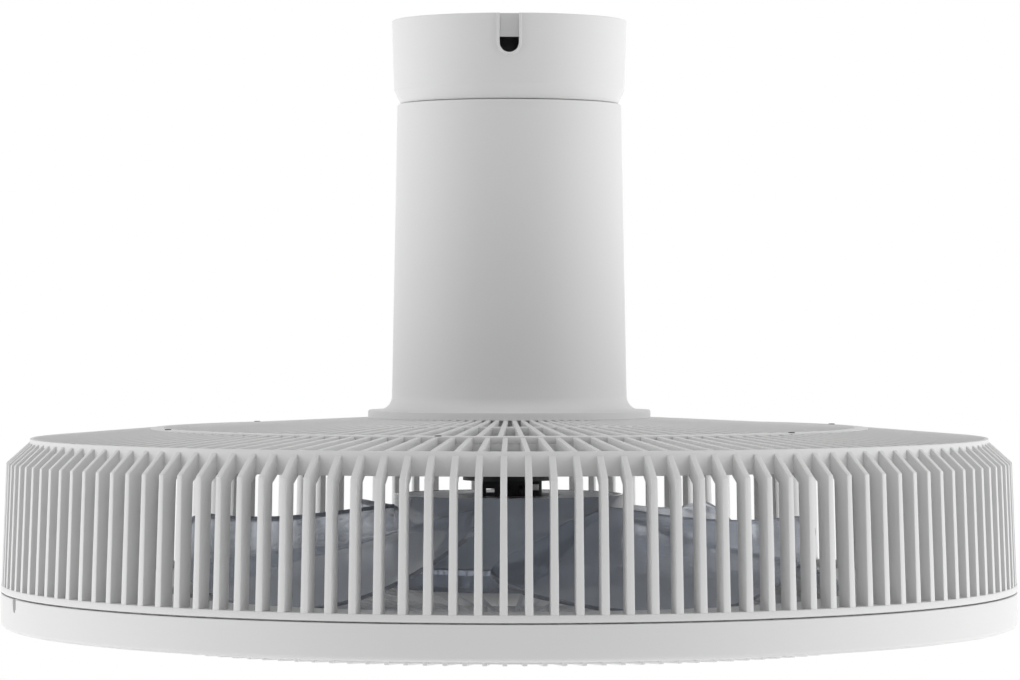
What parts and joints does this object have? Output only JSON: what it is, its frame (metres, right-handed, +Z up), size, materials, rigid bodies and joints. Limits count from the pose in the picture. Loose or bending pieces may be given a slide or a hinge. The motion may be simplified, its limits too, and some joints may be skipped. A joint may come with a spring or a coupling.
{
  "type": "caged ceiling fan",
  "caption": "Round caged fan that hangs from a ceiling on a short column, with a broad-bladed impeller inside the ribbed cage and a ring light round its outlet.",
  "frame": {"origin": "centre of the ceiling bracket's face that meets the ceiling, on the fan's axis", "axes": "+Z up into the ceiling along the fan's axis, -Y towards the cable slot of the canopy"},
  "size_m": [0.5, 0.5, 0.315],
  "materials": {
    "zinc_steel": "zinc plated, satin",
    "dark_steel": "black oxide",
    "white_steel": "white powder coat",
    "white_plastic": "fine moulded texture, white",
    "opal_plastic": "opal white, satin",
    "grey_plastic": "moulded, dark grey",
    "cream_plastic": "moulded, cream",
    "smoke_plastic": "clear moulded, tinted blue-grey",
    "green_board": "solder mask",
    "black_rubber": "moulded",
    "black_casting": "die cast, black coated",
    "core_steel": "stacked sheet",
    "copper_wire": "enamelled copper",
    "brass": "turned",
    "bearing_steel": "ground",
    "ferrite": "sintered, dark grey",
    "aluminium": "milled",
    "lamp_phosphor": "phosphor under resin"
  },
  "bodies": {
    "frame": {"ceiling_bracket": "white_steel", "cable_grommet": "black_rubber", "canopy": "white_plastic", "canopy_screws": "zinc_steel", "hanger_tube": "white_steel", "hanger_bolts": "zinc_steel", "terminal_block": "cream_plastic", "terminal_screws": "brass", "neck_cover": "white_plastic", "neck_screws": "zinc_steel", "control_box": "grey_plastic", "control_lid": "grey_plastic", "control_board": "green_board", "control_screws": "zinc_steel", "top_grille": "white_plastic", "grille_screws": "dark_steel", "outer_cage": "white_plastic", "motor_mount": "black_casting", "mount_bolts": "dark_steel", "motor_lead": "black_rubber", "lead_clip": "white_plastic", "stator_core": "core_steel", "stator_coils": "copper_wire", "upper_bearing": "bearing_steel", "lower_bearing": "bearing_steel", "bearing_spacer": "aluminium", "lower_housing": "white_plastic", "housing_screws": "zinc_steel", "lamp_board": "aluminium", "board_screws": "zinc_steel", "lamp_chips": "lamp_phosphor", "light_diffuser": "opal_plastic"},
    "rotor": {"motor_shaft": "bearing_steel", "shaft_clip": "dark_steel", "motor_bell": "zinc_steel", "bell_cover": "zinc_steel", "magnet_ring": "ferrite", "impeller": "smoke_plastic", "impeller_screws": "zinc_steel", "impeller_nut": "zinc_steel", "hub_cap": "smoke_plastic"},
    "outlet": {"bottom_grille": "white_plastic", "grille_cap": "white_plastic"}
  },
  "joints": [
    {"name": "fan_spin", "type": "hinge", "parent": "frame", "child": "rotor", "pos_m": [0, 0, -0.25], "axis": [0, 0, 1], "continuous": true},
    {"name": "grille_twist", "type": "hinge", "parent": "frame", "child": "outlet", "pos_m": [0, 0, -0.3], "axis": [0, 0, 1], "range_deg": [0, 12]}
  ]
}
